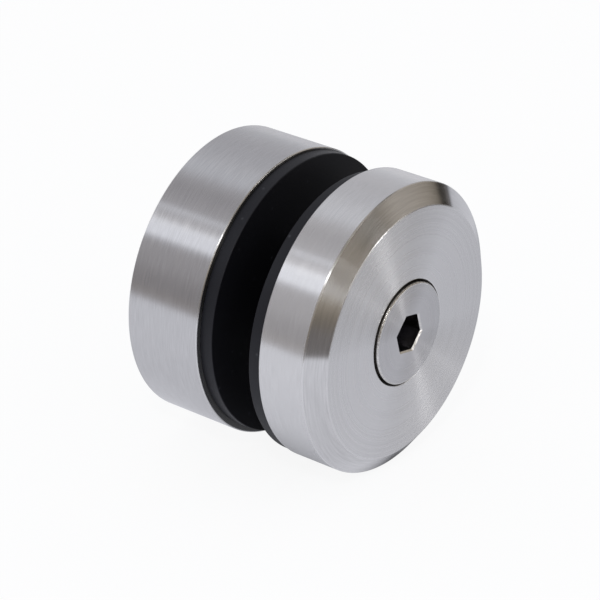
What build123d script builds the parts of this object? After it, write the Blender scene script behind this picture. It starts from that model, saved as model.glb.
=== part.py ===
import os
from math import radians, sqrt, tan

from build123d import *

# Glass-to-glass connector. A plain disc behind the glass and a bevelled disc in front of it
# are drawn together by a countersunk socket screw. A gasket lies between each disc and the
# glass, and a sleeve round the screw keeps the steel off the edge of the hole in the glass.
#
# The screw's axis is Y, and its head faces -Y. +Z is up. The origin lies on the screw's axis,
# in the face of the back gasket that the glass seats on. Lengths are in millimetres.

# Glass
glass_thickness = 8.0

# Discs
disc_diameter = 50.0
back_disc_length = 14.5
front_disc_length = 11.2
bevel_width = 3.35  # across the front face
bevel_depth = 2.5  # along the axis
disc_edge_break = 0.2

# Gaskets: each lies a little off the axis, by its play on the sleeve (X and Z)
gasket_thickness = 2.4
gasket_setback = 0.75  # from the disc's rim to the gasket's
gasket_play = 0.6  # round the sleeve
gasket_edge_radius = 0.3
back_gasket_shift = (0.23, 0.24)
front_gasket_shift = (-0.26, -0.42)

# Spacer sleeve
sleeve_diameter = 16.0
sleeve_play = 0.3  # round the screw
sleeve_end_play = 0.8  # short of the front disc, so that it never takes the clamping load
sleeve_edge_break = 0.4

# Screw, M10 with a coarse right-hand thread, drawn as plain cylinders
thread_diameter = 10.0
thread_clearance = 0.06  # radial, between the screw's crests and the tapped hole
thread_mouth = 0.6  # countersink at the mouth of the tapped hole
tip_chamfer = 0.9
tip_room = 2.0  # between the screw's tip and the end of the tapped hole
back_wall = 2.0  # steel left behind the tapped hole
hole_play = 0.4  # round the screw, in the front disc

# Screw head, a 90 degree cone under a short rim, and its seat
head_diameter = 17.6
head_rim_height = 0.85
head_edge_break = 0.15
seat_angle = 90
seat_margin = 0.45  # from the head's rim to the mouth of the seat
seat_clearance = 0.05  # square to the cone

# Hexagon socket
socket_width = 6.0  # across the flats
socket_depth = 4.2
socket_turn = -13.8  # of one corner from +X towards +Z, in degrees
socket_lead_in = 0.05  # past the corners, at the mouth
socket_lead_angle = 120
socket_drill_setback = 0.2  # from the flats to the drilled point at the bottom
socket_drill_angle = 118

# Stations along Y
back_seat = 0.0
back_disc_face = back_seat + gasket_thickness
front_seat = back_seat - glass_thickness
front_disc_back = front_seat - gasket_thickness
front_disc_face = front_disc_back - front_disc_length

disc_radius = disc_diameter / 2
gasket_radius = disc_radius - gasket_setback
sleeve_radius = sleeve_diameter / 2
gasket_hole_radius = sleeve_radius + gasket_play
thread_radius = thread_diameter / 2
tapped_depth = back_disc_length - back_wall


def across(station):
    """The plane square to the axis at a station, seen from the front: X to the right, Z up."""
    return Plane.XZ.offset(-station)


# Back disc: a plain puck with a blind tapped hole in its glass side
with BuildPart() as back_disc:
    with BuildSketch(across(back_disc_face)):
        Circle(disc_radius)
    extrude(amount=-back_disc_length)
    chamfer(back_disc.edges().filter_by(GeomType.CIRCLE), disc_edge_break)
    with Locations(across(back_disc_face)):
        CounterSinkHole(thread_radius, thread_radius + thread_mouth, tapped_depth, 90)
back_disc.part.label = "back_disc"

# Front disc: its outer front edge is bevelled, and the screw's head sinks into its middle
screw_hole_radius = thread_radius + hole_play
seat_mouth_radius = head_diameter / 2 + seat_margin
with BuildPart() as front_disc:
    with BuildSketch(across(front_disc_face)):
        Circle(disc_radius)
    extrude(amount=-front_disc_length)
    front_side = front_disc.faces().sort_by(Axis.Y)[0]
    chamfer(front_side.edges(), length=bevel_width, length2=bevel_depth, reference=front_side)
    chamfer(front_disc.edges().group_by(Axis.Y)[-1], disc_edge_break)
    with Locations(across(front_disc_face)):
        CounterSinkHole(screw_hole_radius, seat_mouth_radius, counter_sink_angle=seat_angle)
front_disc.part.label = "front_disc"

# Back gasket: a flat ring with softly rounded rims, between the back disc and the glass
with BuildPart() as back_gasket:
    with BuildSketch(across(back_disc_face)):
        with Locations(back_gasket_shift):
            Circle(gasket_radius)
            Circle(gasket_hole_radius, mode=Mode.SUBTRACT)
    extrude(amount=gasket_thickness)
    fillet(back_gasket.edges().filter_by(GeomType.CIRCLE), gasket_edge_radius)
back_gasket.part.label = "back_gasket"

# Front gasket: the same ring, between the glass and the front disc
with BuildPart() as front_gasket:
    with BuildSketch(across(front_seat)):
        with Locations(front_gasket_shift):
            Circle(gasket_radius)
            Circle(gasket_hole_radius, mode=Mode.SUBTRACT)
    extrude(amount=gasket_thickness)
    fillet(front_gasket.edges().filter_by(GeomType.CIRCLE), gasket_edge_radius)
front_gasket.part.label = "front_gasket"

# Spacer sleeve: it stands on the back disc and stops short of the front disc
sleeve_length = back_disc_face - front_disc_back - sleeve_end_play
with BuildPart() as spacer_sleeve:
    with BuildSketch(across(back_disc_face)):
        Circle(sleeve_radius)
        Circle(thread_radius + sleeve_play, mode=Mode.SUBTRACT)
    extrude(amount=sleeve_length)
    rims = spacer_sleeve.edges().filter_by(GeomType.CIRCLE).sort_by(SortBy.RADIUS)[-2:]
    chamfer(rims, sleeve_edge_break)
spacer_sleeve.part.label = "spacer_sleeve"

# Clamp screw: the head's cone stands off its seat by the clearance, so the head's place
# follows from the seat, and the tip's place from the tapped hole
head_radius = head_diameter / 2
shank_radius = thread_radius - thread_clearance
head_cone_top = front_disc_face + seat_margin - seat_clearance * sqrt(2)
head_top = head_cone_top - head_rim_height
head_cone_end = head_cone_top + head_radius - shank_radius
screw_tip = back_disc_face + tapped_depth - tip_room
socket_end = head_top + socket_depth
socket_corner_radius = socket_width / sqrt(3)
lead_radius = socket_corner_radius + socket_lead_in
lead_depth = lead_radius / tan(radians(socket_lead_angle / 2))
drill_radius = socket_width / 2 - socket_drill_setback
drill_depth = drill_radius / tan(radians(socket_drill_angle / 2))

with BuildPart() as clamp_screw:
    with BuildSketch(Plane.XY):
        with BuildLine():
            Polyline(
                (0, head_top),
                (head_radius, head_top),
                (head_radius, head_cone_top),
                (shank_radius, head_cone_end),
                (shank_radius, screw_tip),
                (0, screw_tip),
                close=True,
            )
        make_face()
    revolve(axis=Axis.Y)
    chamfer(clamp_screw.edges().group_by(Axis.Y)[0], head_edge_break)
    chamfer(clamp_screw.edges().group_by(Axis.Y)[-1], tip_chamfer)
    with BuildSketch(across(head_top)):
        RegularPolygon(socket_corner_radius, 6, rotation=socket_turn)
    extrude(amount=-socket_depth, mode=Mode.SUBTRACT)
    with BuildSketch(Plane.XY):
        with BuildLine():
            Polyline((0, head_top), (lead_radius, head_top), (0, head_top + lead_depth), close=True)
        make_face()
        with BuildLine():
            Polyline((0, socket_end), (drill_radius, socket_end), (0, socket_end + drill_depth), close=True)
        make_face()
    revolve(axis=Axis.Y, mode=Mode.SUBTRACT)
clamp_screw.part.label = "clamp_screw"

os.makedirs("parts", exist_ok=True)
export_step(back_disc.part, "parts/back_disc.step")
export_step(back_gasket.part, "parts/back_gasket.step")
export_step(spacer_sleeve.part, "parts/spacer_sleeve.step")
export_step(front_gasket.part, "parts/front_gasket.step")
export_step(front_disc.part, "parts/front_disc.step")
export_step(clamp_screw.part, "parts/clamp_screw.step")
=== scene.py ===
import math

import bmesh
import bpy
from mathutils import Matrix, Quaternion, Vector


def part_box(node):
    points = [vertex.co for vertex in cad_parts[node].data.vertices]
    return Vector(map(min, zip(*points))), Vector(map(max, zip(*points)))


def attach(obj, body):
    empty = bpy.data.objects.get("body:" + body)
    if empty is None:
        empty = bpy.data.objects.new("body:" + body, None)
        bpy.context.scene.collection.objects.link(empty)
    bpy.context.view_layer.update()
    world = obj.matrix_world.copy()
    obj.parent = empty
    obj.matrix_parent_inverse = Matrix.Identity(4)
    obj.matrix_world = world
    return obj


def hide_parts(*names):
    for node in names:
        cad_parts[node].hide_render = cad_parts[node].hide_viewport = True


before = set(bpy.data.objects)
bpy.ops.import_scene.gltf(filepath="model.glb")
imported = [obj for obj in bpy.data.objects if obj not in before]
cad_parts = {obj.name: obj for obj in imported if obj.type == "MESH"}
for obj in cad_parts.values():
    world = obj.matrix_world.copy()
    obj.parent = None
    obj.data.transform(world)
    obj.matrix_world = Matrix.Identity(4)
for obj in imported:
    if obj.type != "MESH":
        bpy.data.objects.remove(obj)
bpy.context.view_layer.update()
mm = 0.001  # a millimetre in Blender's metres
same = 0.001 * mm  # places as near as this count as one
slack = {"flat": 0.001, "slant": 0.01, "round": 0.02}  # how far a face's direction may be off


# Small tools

def deselectAll():
    bpy.ops.object.select_all(action="DESELECT")


def makeActive(piece):
    deselectAll()
    piece.select_set(True)
    bpy.context.view_layer.objects.active = piece


def applyModifier(piece, kind, **settings):
    makeActive(piece)
    modifier = piece.modifiers.new(kind.lower(), kind)
    for key, value in settings.items():
        setattr(modifier, key, value)
    bpy.ops.object.modifier_apply(modifier=modifier.name)


def reach(node):  # radius and both stations of a CAD node
    low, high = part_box(node)
    return (high.x - low.x) / 2, low.y, high.y


def isFlat(face):  # square to the screw's axis
    return abs(face.normal.y) > 1 - slack["flat"]


def isRound(face):  # along the screw's axis
    return abs(face.normal.y) < slack["round"]


def pickFaces(piece, wanted):  # edit mode, selects the faces that the test wants
    mesh = bmesh.from_edit_mesh(piece.data)
    for part in (*mesh.verts, *mesh.edges, *mesh.faces):
        part.select = False
    for face in mesh.faces:
        if wanted(face):
            face.select_set(True)
    bmesh.update_edit_mesh(piece.data)


def addDrum(name, radius, front, back, sides):  # a cylinder along Y, between two stations
    deselectAll()
    bpy.ops.mesh.primitive_cylinder_add(
        vertices=sides, radius=radius, depth=back - front, end_fill_type="NGON",
        location=(0, (front + back) / 2, 0), rotation=(math.pi / 2, 0, 0),
    )
    drum = bpy.context.object
    drum.name = name
    bpy.ops.object.transform_apply(location=True, rotation=True, scale=True)
    return drum


def turnEnd(piece, facing, rings):  # extrudes one end's face through rings of (radius, station)
    makeActive(piece)
    bpy.ops.object.mode_set(mode="EDIT")
    bpy.ops.mesh.select_mode(type="FACE")
    ends = [v.co.y for v in bmesh.from_edit_mesh(piece.data).verts]
    station = min(ends) if facing < 0 else max(ends)
    pickFaces(piece, lambda face: abs(face.calc_center_median().y - station) < same)
    mesh = bmesh.from_edit_mesh(piece.data)
    radius = max(math.hypot(v.co.x, v.co.z) for v in mesh.verts if v.select)
    for newRadius, newStation in rings:
        bpy.ops.mesh.extrude_region_move(
            TRANSFORM_OT_translate={"value": (0, newStation - station, 0)}
        )
        ratio = newRadius / radius
        bpy.ops.transform.resize(value=(ratio, 1, ratio), center_override=(0, newStation, 0))
        radius, station = newRadius, newStation
    bpy.ops.object.mode_set(mode="OBJECT")


def openThrough(piece, radius):  # deletes the end faces of that radius and joins their rims
    makeActive(piece)
    bpy.ops.object.mode_set(mode="EDIT")
    bpy.ops.mesh.select_mode(type="FACE")

    def isLid(face):  # a face of the wall has 4 corners only
        isEnd = isFlat(face) and len(face.verts) > 4
        return isEnd and abs(face.verts[0].co.xz.length - radius) < same

    pickFaces(piece, isLid)
    bpy.ops.mesh.bridge_edge_loops()
    bpy.ops.object.mode_set(mode="OBJECT")


def breakEdges(piece, width, steps=3, angle=30):  # small rounds on every sharp edge
    applyModifier(
        piece, "BEVEL", width=width, segments=steps, limit_method="ANGLE",
        angle_limit=math.radians(angle), harden_normals=False,
    )


def addRing(name, radius, front, back, ring):  # a drum with its hole opened through
    piece = addDrum(name, radius, front, back, ring["sides"])
    turnEnd(piece, -1, [(ring["hole"], front)])
    turnEnd(piece, 1, [(ring["hole"], back)])
    openThrough(piece, ring["hole"])
    breakEdges(piece, ring["edge"], ring["edgeSteps"])
    return piece


def smoothShade(piece):
    makeActive(piece)
    bpy.ops.object.shade_smooth()
    applyModifier(piece, "WEIGHTED_NORMAL", weight=100, keep_sharp=True)


def finishFaces(piece, material, wanted):  # gives one finish to the faces that the test wants
    makeActive(piece)
    piece.data.materials.append(material)
    bpy.ops.object.mode_set(mode="EDIT")
    bpy.ops.mesh.select_mode(type="FACE")
    pickFaces(piece, wanted)
    piece.active_material_index = len(piece.data.materials) - 1
    bpy.ops.object.material_slot_assign()
    bpy.ops.object.mode_set(mode="OBJECT")


def dress(piece, material, body, node):  # the finish, and what the piece stands for
    piece.data.materials.clear()
    piece.data.materials.append(material)
    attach(piece, body)
    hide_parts(node)


# Nodes of the materials and the world

def feed(tree, source, socket):  # source is a number, a colour or another node's output
    if isinstance(source, bpy.types.NodeSocket):
        tree.links.new(source, socket)
    else:
        socket.default_value = source


def addNode(tree, kind, inputs=None, **settings):  # inputs by their number or name
    node = tree.nodes.new("ShaderNode" + kind)
    for key, value in settings.items():
        setattr(node, key, value)
    for socket, source in (inputs or {}).items():
        feed(tree, source, node.inputs[socket])
    return node


def compute(tree, operation, *sources):
    return addNode(tree, "Math", dict(enumerate(sources)), operation=operation).outputs[0]


def computeVector(tree, operation, *sources):
    return addNode(tree, "VectorMath", dict(enumerate(sources)), operation=operation).outputs[0]


def spread(tree, source, low, high, start=0.3, end=0.7):  # noise mostly lies from 0.3 to 0.7
    ranged = addNode(
        tree, "MapRange",
        {"Value": source, "From Min": start, "From Max": end, "To Min": low, "To Max": high},
    )
    return ranged.outputs["Result"]


def mixNumbers(tree, share, first, second):
    return addNode(tree, "Mix", {0: share, 2: first, 3: second}).outputs[0]


def mixColors(tree, share, first, second):  # a Mix node's colours are its inputs 6 and 7
    return addNode(tree, "Mix", {0: share, 6: first, 7: second}, data_type="RGBA").outputs[2]


def mixShaders(tree, share, first, second):
    return addNode(tree, "MixShader", {0: share, 1: first, 2: second}).outputs[0]


def addRamp(tree, share, stops):  # stops of (position, color), 32 at most
    ramp = addNode(tree, "ValToRGB", {"Fac": share})
    elements = ramp.color_ramp.elements
    while len(elements) < len(stops):
        elements.new(0.5)
    for element, (position, color) in zip(elements, stops):
        element.position = position
        element.color = (*color, 1)
    return ramp.outputs["Color"]


def newMaterial(name, color, roughness, metallic=0.0):
    material = bpy.data.materials.new(name)
    material.use_nodes = True
    shader = material.node_tree.nodes["Principled BSDF"]
    shader.inputs["Base Color"].default_value = (*color, 1)
    shader.inputs["Roughness"].default_value = roughness
    shader.inputs["Metallic"].default_value = metallic
    return material, shader


def addBump(tree, shader, height, look):
    bump = addNode(
        tree, "Bump", {"Strength": look["bump"], "Distance": look["bumpDepth"], "Height": height}
    )
    feed(tree, bump.outputs["Normal"], shader.inputs["Normal"])


# Steel

brushedRim = {
    "color": (0.615, 0.61, 0.62),
    "metallic": 1.0,
    "roughness": 0.23,
    "unevenRoughness": 0.08,  # share by which it varies
    "anisotropy": 1.0,
    "streaksPerMetre": 8000,
    "streaksRound": 8.0,  # how often a streak breaks off on the way round
    "detail": 1.0,
    "broadShare": 0.25,  # how much the broader streaks add to the fine ones
    "broadWider": 6,
    "broadLonger": 2,
    "broadDetail": 2.0,
    "contrast": 0.095,
    "noiseSwing": 0.3,  # how far the noise mostly goes to both sides of its middle
    "nearAxis": 1.0,  # share of the contrast that is left towards the screw
    "nearAxisFade": (11 * mm, 16 * mm),
    "bump": 0.1,
    "bumpDepth": 0.01 * mm,
}
steelFinishes = {
    "backRim": brushedRim,
    "frontRim": {
        **brushedRim, "color": (0.695, 0.69, 0.70), "metallic": 0.85, "contrast": 0.065,
    },
    "turnedFace": {
        **brushedRim, "color": (0.69, 0.685, 0.69), "roughness": 0.27, "nearAxis": 0.15,
        "streaksPerMetre": 3600, "streaksRound": 0.0, "detail": 0.0, "broadShare": 0.08,
        "contrast": 0.05, "bump": 0.0,
    },
    "discEdge": {
        **brushedRim, "color": (0.72, 0.715, 0.72), "roughness": 0.28, "contrast": 0.03, "bump": 0.0,
    },
    # the disc faces that look into the gap behind the gaskets: steel darkened to 0.2, painted shade
    # between the parts
    "shadedInnerFace": {
        **brushedRim, "color": (0.2, 0.2, 0.2), "roughness": 0.27,
        "streaksPerMetre": 1300, "streaksRound": 0.0, "detail": 0.6, "bump": 0.0,
    },
    "bevel": {
        **brushedRim, "color": (0.62, 0.615, 0.62), "roughness": 0.16,
        "streaksPerMetre": 4000, "streaksRound": 5.0, "contrast": 0.1, "bump": 0.0,
    },
    "screwTop": {
        **brushedRim, "color": (0.56, 0.555, 0.565), "roughness": 0.27,
        "streaksPerMetre": 2200, "streaksRound": 0.0, "detail": 0.6, "contrast": 0.03, "bump": 0.0,
    },
    "screwRim": {
        **brushedRim, "color": (0.66, 0.65, 0.64), "roughness": 0.2, "anisotropy": 0.0,
        "streaksPerMetre": 1500, "streaksRound": 80.0, "contrast": 0.5,
        "bump": 1.0, "bumpDepth": 0.05 * mm,
    },
    "keyEdge": {
        **brushedRim, "color": (0.68, 0.67, 0.66), "roughness": 0.17, "anisotropy": 0.0,
        "streaksPerMetre": 1500, "streaksRound": 20.0, "contrast": 0.3,
        "bump": 1.0, "bumpDepth": 0.02 * mm,
    },
    # the seat round the screw's head: steel darkened to near black, painted shade in the groove
    "seat": {
        **brushedRim, "color": (0.05, 0.045, 0.04), "roughness": 0.4, "anisotropy": 0.4,
        "contrast": 0.3,
    },
    # the walls of the key's socket: steel darkened to 0.18, painted shade in the recess
    "socket": {
        **brushedRim, "color": (0.18, 0.175, 0.185), "roughness": 0.25, "anisotropy": 0.0,
        "streaksRound": 12.0, "contrast": 0.5,
    },
}


def latheSpace(tree):  # place round the screw's axis
    place = addNode(tree, "TexCoord").outputs["Object"]
    flat = computeVector(tree, "MULTIPLY", place, (1, 0, 1))
    outward = computeVector(tree, "NORMALIZE", flat)
    return {
        "radius": addNode(tree, "VectorMath", {0: flat}, operation="LENGTH").outputs["Value"],
        "station": addNode(tree, "SeparateXYZ", {0: place}).outputs["Y"],
        "outward": outward,
        "around": computeVector(tree, "CROSS_PRODUCT", outward, (0, 1, 0)),
    }


def scratches(tree, space, fine, along, detail):  # noise drawn out round the axis, with no seam
    turn = addNode(tree, "SeparateXYZ", {0: space["outward"]})
    place = addNode(
        tree, "CombineXYZ",
        {
            0: compute(tree, "MULTIPLY", space["radius"], fine),
            1: compute(tree, "MULTIPLY", space["station"], fine),
            2: compute(tree, "MULTIPLY", turn.outputs["X"], along),
        },
    )
    noise = addNode(
        tree, "TexNoise",
        {
            "Vector": place.outputs[0],
            "W": compute(tree, "MULTIPLY", turn.outputs["Z"], along),
            "Scale": 1.0,
            "Detail": detail,
        },
        noise_dimensions="4D",
    )
    return noise.outputs["Fac"]


def makeSteel(name):
    look = steelFinishes[name]
    material, shader = newMaterial(name, look["color"], look["roughness"], look["metallic"])
    tree = material.node_tree
    space = latheSpace(tree)
    fine = scratches(tree, space, look["streaksPerMetre"], look["streaksRound"], look["detail"])
    broad = scratches(
        tree, space, look["streaksPerMetre"] / look["broadWider"],
        look["streaksRound"] / look["broadLonger"], look["broadDetail"],
    )
    both = compute(tree, "MULTIPLY_ADD", broad, look["broadShare"], fine)
    middle, swing = (1 + look["broadShare"]) / 2, look["noiseSwing"]
    varied = spread(tree, both, -look["contrast"], look["contrast"], middle - swing, middle + swing)
    share = spread(tree, space["radius"], look["nearAxis"], 1.0, *look["nearAxisFade"])
    shade = compute(tree, "MULTIPLY_ADD", varied, share, 1.0)
    color = addNode(tree, "VectorMath", {0: look["color"], "Scale": shade}, operation="SCALE")
    feed(tree, color.outputs[0], shader.inputs["Base Color"])
    least, most = 1 - look["unevenRoughness"], 1 + look["unevenRoughness"]
    uneven = spread(tree, broad, least * look["roughness"], most * look["roughness"])
    feed(tree, uneven, shader.inputs["Roughness"])
    shader.inputs["Anisotropic"].default_value = look["anisotropy"]
    shader.inputs["Anisotropic Rotation"].default_value = 0.25  # highlights run across the scratches
    feed(tree, space["around"], shader.inputs["Tangent"])
    addBump(tree, shader, fine, look)
    return material


steel = {name: makeSteel(name) for name in steelFinishes}
print("steel made")


# Rubber and nylon

rubberLook = {
    "color": (0.004, 0.004, 0.006), "roughness": (0.45, 0.65), "shine": 0.15,
    "grainPerMetre": 5000, "grainDetail": 4.0, "bump": 0.2, "bumpDepth": 0.03 * mm,
    "dustPerMetre": 500, "dustColor": (0.045, 0.048, 0.06), "dustSize": 0.17,
    "dustFrom": 0.4,  # share of the places that stay bare
}
rubberFinishes = {
    # the flat faces use the look above, whose colour is darker than the rim's: painted shade in the gap
    # between the discs
    "shadedGasketFace": rubberLook,
    "gasketRim": {
        **rubberLook, "color": (0.009, 0.0095, 0.014), "roughness": (0.4, 0.55), "shine": 0.3,
        "dustColor": (0.07, 0.073, 0.085),
    },
    "sleeveNylon": {
        **rubberLook, "color": (0.01, 0.01, 0.01), "roughness": (0.35, 0.45), "shine": 0.3,
    },
}


def makeRubber(name):
    look = rubberFinishes[name]
    material, shader = newMaterial(name, look["color"], look["roughness"][0])
    shader.inputs["Specular IOR Level"].default_value = look["shine"]
    tree = material.node_tree
    place = addNode(tree, "TexCoord").outputs["Object"]
    noise = addNode(
        tree, "TexNoise",
        {"Vector": place, "Scale": look["grainPerMetre"], "Detail": look["grainDetail"]},
    )
    grain = noise.outputs["Fac"]
    feed(tree, spread(tree, grain, *look["roughness"]), shader.inputs["Roughness"])
    dust = addNode(tree, "TexVoronoi", {"Vector": place, "Scale": look["dustPerMetre"]})
    chance = addNode(tree, "SeparateColor", {0: dust.outputs["Color"]}).outputs["Red"]
    speck = compute(  # faint specks, each of its own strength
        tree, "MULTIPLY",
        spread(tree, dust.outputs["Distance"], 1.0, 0.0, 0.0, look["dustSize"]),
        spread(tree, chance, 0.0, 1.0, look["dustFrom"], 1.0),
    )
    color = mixColors(tree, speck, (*look["color"], 1), (*look["dustColor"], 1))
    feed(tree, color, shader.inputs["Base Color"])
    addBump(tree, shader, grain, look)
    return material


rubber = {name: makeRubber(name) for name in rubberFinishes}
print("rubber made")


# Back disc

backDisc = {
    "sides": 256, "edge": 0.2 * mm, "bore": 5.0 * mm, "mouth": 5.6 * mm, "boreDepth": 12.5 * mm,
}


def makeBackDisc():
    radius, front, back = reach("back_disc")
    disc = addDrum("backPuck", radius, front, back, backDisc["sides"])
    bore, mouth = backDisc["bore"], backDisc["mouth"]
    end = front + backDisc["boreDepth"]
    turnEnd(disc, -1, [(mouth, front), (bore, front + mouth - bore), (bore, end)])
    breakEdges(disc, backDisc["edge"])
    smoothShade(disc)
    dress(disc, steel["discEdge"], "back_clamp", "back_disc")
    finishFaces(disc, steel["backRim"], isRound)
    finishFaces(disc, steel["turnedFace"], isFlat)
    # painted shade on the disc's front face, in the gap behind its gasket
    finishFaces(disc, steel["shadedInnerFace"], lambda face: isFlat(face) and face.normal.y < 0)


makeBackDisc()
print("back disc made")


# Front disc

frontDisc = {
    "sides": 256, "edge": 0.18 * mm, "bevelWidth": 3.35 * mm, "bevelDepth": 2.5 * mm,
    "seatMouth": 9.25 * mm, "hole": 5.4 * mm,
    "seatInside": 0.03 * mm,  # how far inside its mouth the seat's painted shade starts
}


def makeFrontDisc():
    radius, front, back = reach("front_disc")
    width, depth = frontDisc["bevelWidth"], frontDisc["bevelDepth"]
    mouth, hole = frontDisc["seatMouth"], frontDisc["hole"]
    disc = addDrum("bevelledDisc", radius, front + depth, back, frontDisc["sides"])
    seatDepth = mouth - hole
    turnEnd(disc, -1, [(radius - width, front), (mouth, front), (hole, front + seatDepth)])
    turnEnd(disc, 1, [(hole, back)])
    openThrough(disc, hole)
    breakEdges(disc, frontDisc["edge"])
    smoothShade(disc)
    dress(disc, steel["discEdge"], "front_clamp", "front_disc")
    slant = width / math.hypot(width, depth)
    finishFaces(disc, steel["bevel"], lambda face: abs(face.normal.y + slant) < slack["slant"])
    finishFaces(disc, steel["frontRim"], isRound)
    finishFaces(disc, steel["turnedFace"], isFlat)
    # painted shade on the disc's back face, in the gap between the discs
    finishFaces(disc, steel["shadedInnerFace"], lambda face: isFlat(face) and face.normal.y > 0)
    inside = mouth - frontDisc["seatInside"]
    # painted shade: the seat and the hole round the screw get the near-black steel
    finishFaces(disc, steel["seat"], lambda face: face.calc_center_median().xz.length < inside)


makeFrontDisc()
print("front disc made")


# Gaskets

gasketRing = {"sides": 256, "edge": 0.15 * mm, "edgeSteps": 4, "hole": 8.6 * mm}


def makeGasket(name, node, body):
    radius, front, back = reach(node)
    low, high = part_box(node)
    ring = addRing(name, radius, front, back, gasketRing)
    makeActive(ring)
    ring.location = ((low.x + high.x) / 2, 0, (low.z + high.z) / 2)  # slightly off the axis
    bpy.ops.object.transform_apply(location=True, rotation=False, scale=False)
    smoothShade(ring)
    dress(ring, rubber["gasketRim"], body, node)
    # painted shade: the flat faces in the gap get the darker rubber
    finishFaces(ring, rubber["shadedGasketFace"], isFlat)


makeGasket("backRubberRing", "back_gasket", "back_clamp")
makeGasket("frontRubberRing", "front_gasket", "front_clamp")
print("gaskets made")


# Spacer sleeve

sleeveTube = {"sides": 128, "edge": 0.35 * mm, "edgeSteps": 3, "hole": 5.3 * mm}


def makeSleeve():
    radius, front, back = reach("spacer_sleeve")
    tube = addRing("nylonSleeve", radius, front, back, sleeveTube)
    smoothShade(tube)
    dress(tube, rubber["sleeveNylon"], "back_clamp", "spacer_sleeve")


makeSleeve()
print("sleeve made")


# Screw

clampScrew = {
    "sides": 192,
    "shank": 4.94 * mm,
    "core": 4.1 * mm,
    "edge": 0.1 * mm,
    "rim": 0.85 * mm,
    "rimRound": 0.26 * mm,
    "rimSteps": 6,
    "plainShank": 1.2 * mm,
    "tipChamfer": 1.05 * mm,
    "pitch": 1.5 * mm,
    "ridgeFoot": 0.70 * mm,  # half widths of the thread's ridge
    "ridgeTop": 0.095 * mm,
    "ridgeSteps": 64,  # a turn
    "ridgeLead": 0.2 * mm,  # how far it starts before the core
    "rootSunk": 0.1 * mm,  # into the core
    "crestSunk": 0.04 * mm,  # under the shank's surface
    "trimInside": 0.05 * mm,  # how far the trimming drum goes into the core and past the crest
    "trimOutside": 0.01 * mm,
    "keyAcross": 6.0 * mm,
    "keyDepth": 4.2 * mm,
    "keyTurn": -13.8,
    "keyChamfer": 0.26 * mm,
    "keyRise": 1 * mm,  # how far the two cutters start clear of what they cut
    "drillRise": 0.1 * mm,
    "drillSetback": 0.2 * mm,
    "drillAngle": 118,
    "drillSides": 96,
    "smoothAngle": 30,
    "faceDepth": 0.01 * mm,  # flat faces as near as this to the front are the head's top
}
keyCorner = clampScrew["keyAcross"] / math.sqrt(3)
keyMouth = keyCorner + clampScrew["keyChamfer"] * 2 / math.sqrt(3)


def cutWith(piece, cutter, operation="DIFFERENCE"):
    applyModifier(piece, "BOOLEAN", operation=operation, object=cutter, solver="EXACT")
    bpy.data.objects.remove(cutter)


def addThread(front, back):  # a right-hand ridge, its ends trimmed to the shank's outline
    pitch, foot, top = clampScrew["pitch"], clampScrew["ridgeFoot"], clampScrew["ridgeTop"]
    root = clampScrew["core"] - clampScrew["rootSunk"]
    crest = clampScrew["shank"] - clampScrew["crestSunk"]
    deselectAll()
    bpy.ops.mesh.primitive_plane_add(size=1, location=(0, 0, 0))
    ridge = bpy.context.object
    section = [(root, -foot), (crest, -top), (root, foot), (crest, top)]
    for vertex, (radius, station) in zip(ridge.data.vertices, section):
        vertex.co = (radius, front - pitch + station, 0)
    bpy.ops.object.mode_set(mode="EDIT")
    bpy.ops.mesh.select_all(action="SELECT")
    bpy.ops.mesh.delete(type="ONLY_FACE")
    bpy.ops.object.mode_set(mode="OBJECT")
    turns = math.ceil((back - front) / pitch) + 2
    applyModifier(
        ridge, "SCREW", axis="Y", angle=2 * math.pi, screw_offset=pitch, iterations=turns,
        steps=clampScrew["ridgeSteps"], render_steps=clampScrew["ridgeSteps"], use_smooth_shade=False,
    )
    bpy.ops.object.mode_set(mode="EDIT")
    bpy.ops.mesh.select_all(action="SELECT")
    bpy.ops.mesh.fill_holes(sides=4)
    bpy.ops.mesh.select_all(action="SELECT")
    bpy.ops.mesh.normals_make_consistent(inside=False)
    bpy.ops.object.mode_set(mode="OBJECT")
    tip = back - clampScrew["tipChamfer"]
    outer = crest + clampScrew["trimOutside"]
    inner = clampScrew["core"] - clampScrew["trimInside"]
    outline = addDrum("shankOutline", outer, front, tip, clampScrew["sides"])
    turnEnd(outline, 1, [(inner, tip + crest - inner)])
    cutWith(ridge, outline, "INTERSECT")
    return ridge


def addKey(front, keyEnd):  # the hexagon that cuts the socket, with its flared mouth
    key = addDrum("keyCutter", keyCorner, front + clampScrew["keyChamfer"], keyEnd, 6)
    turnEnd(key, -1, [(keyMouth, front), (keyMouth, front - clampScrew["keyRise"])])
    corner = key.data.vertices[0].co
    now = math.degrees(math.atan2(corner.z, corner.x))
    key.rotation_euler.y = -math.radians(clampScrew["keyTurn"] - now)
    makeActive(key)
    bpy.ops.object.transform_apply(location=False, rotation=True, scale=False)
    return key


def addDrillTip(radius, station):  # point down along +Y, with that radius at the station
    slope = math.tan(math.radians(clampScrew["drillAngle"] / 2))
    station -= clampScrew["drillRise"]
    radius += clampScrew["drillRise"] * slope
    depth = radius / slope
    deselectAll()
    bpy.ops.mesh.primitive_cone_add(
        vertices=clampScrew["drillSides"], radius1=radius, radius2=0, depth=depth,
        location=(0, station + depth / 2, 0), rotation=(-math.pi / 2, 0, 0),
    )
    bpy.ops.object.transform_apply(location=True, rotation=True, scale=True)
    return bpy.context.object


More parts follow.
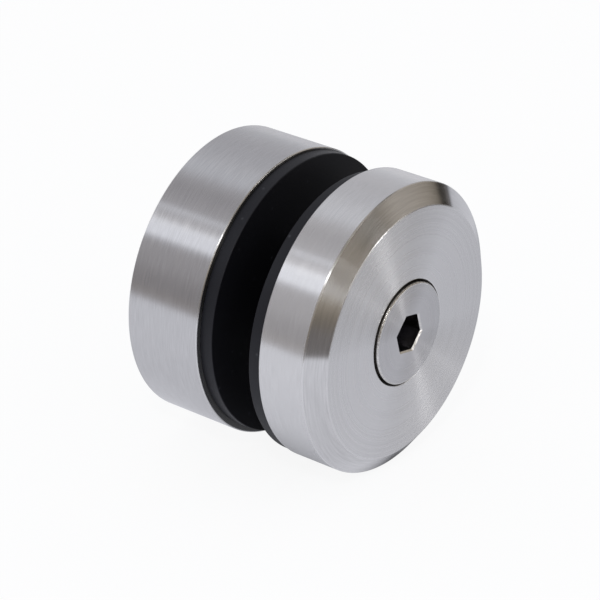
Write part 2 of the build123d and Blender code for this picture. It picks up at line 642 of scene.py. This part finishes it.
def makeScrew():
    radius, front, back = reach("clamp_screw")
    shank, core, curve = clampScrew["shank"], clampScrew["core"], clampScrew["rimRound"]
    rimEnd = front + clampScrew["rim"]
    coneEnd = rimEnd + radius - shank
    threadStart = coneEnd + clampScrew["plainShank"]
    keyEnd = front + clampScrew["keyDepth"]
    screw = addDrum("clampScrew", radius, front + curve, rimEnd, clampScrew["sides"])
    rounding = []
    for step in range(1, clampScrew["rimSteps"] + 1):
        slope = math.radians(90 * step / clampScrew["rimSteps"])
        rounding.append(
            (radius - curve * (1 - math.cos(slope)), front + curve * (1 - math.sin(slope)))
        )
    turnEnd(screw, -1, rounding)
    turnEnd(screw, 1, [(shank, coneEnd), (shank, threadStart), (core, threadStart), (core, back)])
    breakEdges(screw, clampScrew["edge"])
    cutWith(screw, addThread(threadStart - clampScrew["ridgeLead"], back), "UNION")
    cutWith(screw, addKey(front, keyEnd))
    drill = clampScrew["keyAcross"] / 2 - clampScrew["drillSetback"]
    cutWith(screw, addDrillTip(drill, keyEnd))
    makeActive(screw)
    bpy.ops.object.shade_smooth_by_angle(angle=math.radians(clampScrew["smoothAngle"]))
    dress(screw, steel["screwTop"], "screw", "clamp_screw")
    finishFaces(screw, steel["screwRim"], lambda face: not isFlat(face))

    def isInside(face, start):  # in the key's socket, from that station on
        center = face.calc_center_median()
        isTop = isFlat(face) and center.y < front + clampScrew["faceDepth"]
        return center.xz.length < keyMouth and start < center.y < keyEnd + keyCorner and not isTop

    finishFaces(screw, steel["keyEdge"], lambda face: isInside(face, front - clampScrew["keyRise"]))
    # painted shade: the socket's walls past the chamfer get the darkened steel
    finishFaces(screw, steel["socket"], lambda face: isInside(face, front + clampScrew["keyChamfer"]))


makeScrew()
print("screw made")


# Floor and light

room = {  # lengths in metres, from the frame's origin
    "floorLevel": -25.0 * mm,
    "floorSize": 3.0,
    "floorRoughness": 0.9,
    "floorColor": (0.91, 0.925, 0.98),
    "whiteShare": 0.9,  # of the floor that the camera sees, the rest takes the shadow
    "fill": 0.8,  # the world's light on all but mirrored rays
    "frontFade": (0.04, 0.24),  # Y of a mirrored direction where the room in front gives way
}
# the white table that the metal mirrors: its edges, its glow, and the dark under the object
table = {
    "left": -0.20,
    "right": (0.45, 0.85),  # where it fades out
    "front": -0.123,
    "blur": 0.01,
    "color": (0.98, 0.99, 1.055, 1),
    "shadeShare": 0.25,  # the share that takes light and shadow, the rest glows
    "glowReach": 200,  # how far the stops below go to both sides, in millimetres
    "frontGlowFade": (-24 * mm, -19 * mm),  # Y where the glow in front gives way to that beside
    "contactDark": 0.95,  # how much of the glow is lost where the object stands
    "contactReach": 27 * mm,  # to both sides
    "contactSlant": 0.3,  # how much its front edge turns away from X
    "contactFront": (-22.5 * mm, -19.5 * mm),
    "contactBack": 8 * mm,  # it fades out over this length, from the origin on
}
# glow of the table by its X in millimetres, beside the object and in front of it; its dips are painted
# shade, deepest to the right of the object where its shadow is painted
besideGlow = [
    (-200, 0.78), (-50, 0.78), (-28, 0.74), (-18, 0.79), (-10, 0.88), (4, 0.66), (42, 0.56),
    (58, 0.3), (78, 0.26), (92, 0.52), (110, 0.7), (200, 0.7),
]
frontGlow = [
    (-200, 0.84), (-50, 0.84), (5, 0.68), (25, 0.66), (40, 0.67), (60, 0.59), (200, 0.59),
]
# brightness of what the metal mirrors past the table's edges
beyond = {
    "color": (1.04, 0.97, 0.95, 1),
    "left": 0.31,
    "front": 0.2,
    "right": (0.05, 0.95),  # in front and further back
    "rightStart": (0.2, 0.4),  # X where the left gives way to the right
    "furtherBack": (0.1, 0.35),  # Y where the front gives way to further back
}
# brightness that the metal mirrors, by the angle about the screw's axis, from +X over +Z to -X
roomBands = [
    (-180, 0.31), (-40, 0.8), (-10, 1.1), (-1, 0.98), (5, 0.67), (22, 0.57), (40, 0.56),
    (60, 0.62), (76, 0.73), (82, 0.69), (88, 0.47), (91, 0.39), (110, 0.48), (115.5, 0.5),
    (116.5, 0.95), (118, 0.95), (120, 0.52), (126, 0.5), (129.5, 1.02), (139.5, 1.14),
    (143, 0.62), (146.5, 0.46), (162, 0.42), (172, 0.34), (180, 0.31),
]
frontBands = [
    (-180, 0.19), (-160, 0.17), (-20, 0.2), (-4, 0.04), (3, 0.04), (5, 0.25), (12, 0.38),
    (27, 0.46), (38, 0.41), (42.5, 0.35), (45, 0.16), (50, 0.09), (56, 0.2), (61, 0.11),
    (64, 0.14), (69, 0.32), (73, 0.37), (81, 0.31), (87, 0.27), (93, 0.3), (96, 0.6),
    (99, 0.25), (102, 0.13), (108, 0.21), (115, 0.39), (122, 0.65), (130, 0.56), (138, 0.39),
    (154, 0.33), (162, 0.27), (172, 0.21), (180, 0.19),
]
# tints of what is dark and of what is bright, behind the object and in front of it
roomTints = {"dark": (1.015, 0.975, 1.01), "light": (0.975, 1.0, 1.07)}
frontTints = {"dark": (1.12, 0.98, 0.80), "light": (1.0, 1.0, 0.99)}
tintRange = (0.3, 0.7)  # brightness at which the dark tint ends and the bright one is full
bandScale = 2.0  # the ramps hold the brightness divided by this, to stay under 1
white = (1, 1, 1, 1)


def bandRamp(tree, turn, bands, tints):
    start, end = tintRange
    stops = []
    for degrees, glow in bands:
        share = min(max((glow - start) / (end - start), 0), 1)
        tint = [dark + share * (light - dark) for dark, light in zip(tints["dark"], tints["light"])]
        color = [glow / bandScale * channel for channel in tint]
        stops.append(((degrees + 180) / 360, color))
    return addRamp(tree, turn, stops)


def glowRamp(tree, x, glows):
    farthest = table["glowReach"]
    stops = [((place / farthest + 1) / 2, (glow, glow, glow)) for place, glow in glows]
    return addRamp(tree, spread(tree, x, 0.0, 1.0, -farthest * mm, farthest * mm), stops)


def addGlow(tree, kind, color, strength):  # kind is Background in the world, Emission on a face
    return addNode(tree, kind, {"Color": color, "Strength": strength}).outputs[0]


def makeWorld():
    world = bpy.data.worlds.new("studio")
    bpy.context.scene.world = world
    world.use_nodes = True
    tree = world.node_tree
    tree.nodes.clear()
    way = addNode(tree, "SeparateXYZ", {0: addNode(tree, "TexCoord").outputs["Generated"]})
    angle = compute(tree, "ARCTAN2", way.outputs["Z"], way.outputs["X"])
    turn = spread(tree, angle, 0.0, 1.0, -math.pi, math.pi)
    mirrored = mixColors(
        tree, spread(tree, way.outputs["Y"], 1.0, 0.0, *room["frontFade"]),
        bandRamp(tree, turn, roomBands, roomTints), bandRamp(tree, turn, frontBands, frontTints),
    )
    path = addNode(tree, "LightPath").outputs
    plain = addGlow(tree, "Background", white, room["fill"])
    glossy = addGlow(tree, "Background", mirrored, bandScale)
    lit = mixShaders(tree, path["Is Glossy Ray"], plain, glossy)
    seen = mixShaders(tree, path["Is Camera Ray"], lit, addGlow(tree, "Background", white, 1.0))
    addNode(tree, "OutputWorld", {"Surface": seen})


def softStep(tree, source, edge):  # 0 before the edge and 1 past it
    return spread(tree, source, 0.0, 1.0, edge - table["blur"], edge + table["blur"])


def contactShade(tree, x, y):  # how much of the table's glow the object takes away
    aside = compute(tree, "ABSOLUTE", x)
    under = spread(tree, aside, table["contactDark"], 0.0, 0.0, table["contactReach"])
    slanted = compute(tree, "MULTIPLY_ADD", x, table["contactSlant"], y)
    under = spread(tree, slanted, 0.0, under, *table["contactFront"])
    return spread(tree, y, under, 0.0, 0.0, table["contactBack"])


def mirroredTable(tree, plain):  # what the metal mirrors of the floor
    place = addNode(tree, "SeparateXYZ", {0: addNode(tree, "TexCoord").outputs["Object"]})
    x, y = place.outputs["X"], place.outputs["Y"]
    pastFront = softStep(tree, y, table["front"])
    beforeRight = spread(tree, x, 1.0, 0.0, *table["right"])
    across = compute(tree, "MULTIPLY", softStep(tree, x, table["left"]), beforeRight)
    onTable = compute(tree, "MULTIPLY", across, pastFront)
    right = spread(tree, y, *beyond["right"], *beyond["furtherBack"])
    beside = spread(tree, x, beyond["left"], right, *beyond["rightStart"])
    dim = addGlow(
        tree, "Emission", beyond["color"], mixNumbers(tree, pastFront, beyond["front"], beside)
    )
    inFront = spread(tree, y, 1.0, 0.0, *table["frontGlowFade"])
    glow = mixNumbers(tree, inFront, glowRamp(tree, x, besideGlow), glowRamp(tree, x, frontGlow))
    uncovered = compute(tree, "SUBTRACT", 1.0, contactShade(tree, x, y))
    lit = addGlow(tree, "Emission", table["color"], compute(tree, "MULTIPLY", uncovered, glow))
    top = mixShaders(tree, table["shadeShare"], lit, plain)
    return mixShaders(tree, onTable, dim, top)


def makeFloor():
    deselectAll()
    bpy.ops.mesh.primitive_plane_add(size=room["floorSize"], location=(0, 0, room["floorLevel"]))
    floor = bpy.context.object
    floor.name = "floor"
    bpy.ops.object.transform_apply(location=True, rotation=False, scale=False)
    material, shader = newMaterial("floorWhite", room["floorColor"], room["floorRoughness"])
    shader.inputs["Specular IOR Level"].default_value = 0.0
    tree = material.node_tree
    plain = shader.outputs[0]
    path = addNode(tree, "LightPath").outputs
    pale = mixShaders(tree, room["whiteShare"], plain, addGlow(tree, "Emission", white, 1.0))
    seen = mixShaders(tree, path["Is Camera Ray"], plain, pale)
    both = mixShaders(tree, path["Is Glossy Ray"], seen, mirroredTable(tree, plain))
    feed(tree, both, tree.nodes["Material Output"].inputs["Surface"])
    floor.data.materials.append(material)


lamps = {  # metres, degrees and watts
    "faceLamp": {"way": (0.49, -0.86, 0.10), "width": 0.14, "height": 0.2, "roll": 0, "power": 0.4},
    "broadLamp": {"way": (0.45, -0.88, 0.09), "width": 0.65, "height": 0.2, "roll": 0, "power": 0.5},
    "keyLamp": {"way": (-0.31, -0.825, 0.475), "width": 0.45, "height": 0.07, "roll": 41, "power": 0.35},
    "glintLamp": {"way": (-0.588, -0.342, 0.73), "width": 0.1, "height": 0.1, "roll": 0, "power": 1.4},
}
lampDistance = 1.0


def linkNew(name, data):
    item = bpy.data.objects.new(name, data)
    bpy.context.scene.collection.objects.link(item)
    return item


def makeLamp(name):  # a panel that faces the object
    panel = lamps[name]
    data = bpy.data.lights.new(name, "AREA")
    data.shape = "RECTANGLE"
    data.size = panel["width"]
    data.size_y = panel["height"]
    data.energy = panel["power"]
    lamp = linkNew(name, data)
    way = Vector(panel["way"]).normalized()
    lamp.location = way * lampDistance
    aim = (-way).to_track_quat("-Z", "Y")
    lamp.rotation_euler = (aim @ Quaternion((0, 0, 1), math.radians(panel["roll"]))).to_euler()


makeWorld()
makeFloor()
for lampName in lamps:
    makeLamp(lampName)
print("floor and light made")


# Camera

photoView = {
    "aim": (-8.68 * mm, -6.19 * mm, 4.72 * mm), "azimuth": -52.43, "elevation": 28.05,
    "distance": 438.28 * mm, "lens": 161.12, "sensor": 36, "nearest": 10 * mm,
}


def makeCamera():
    azimuth, elevation = math.radians(photoView["azimuth"]), math.radians(photoView["elevation"])
    level = math.cos(elevation)
    back = Vector((math.sin(azimuth) * level, -math.cos(azimuth) * level, math.sin(elevation)))
    data = bpy.data.cameras.new("photoCamera")
    data.lens = photoView["lens"]
    data.sensor_width = photoView["sensor"]
    data.clip_start = photoView["nearest"]
    camera = linkNew("photoCamera", data)
    camera.location = Vector(photoView["aim"]) + back * photoView["distance"]
    camera.rotation_euler = (-back).to_track_quat("-Z", "Y").to_euler()
    bpy.context.scene.camera = camera


makeCamera()
bpy.context.scene.view_settings.view_transform = "Standard"
print("camera set")
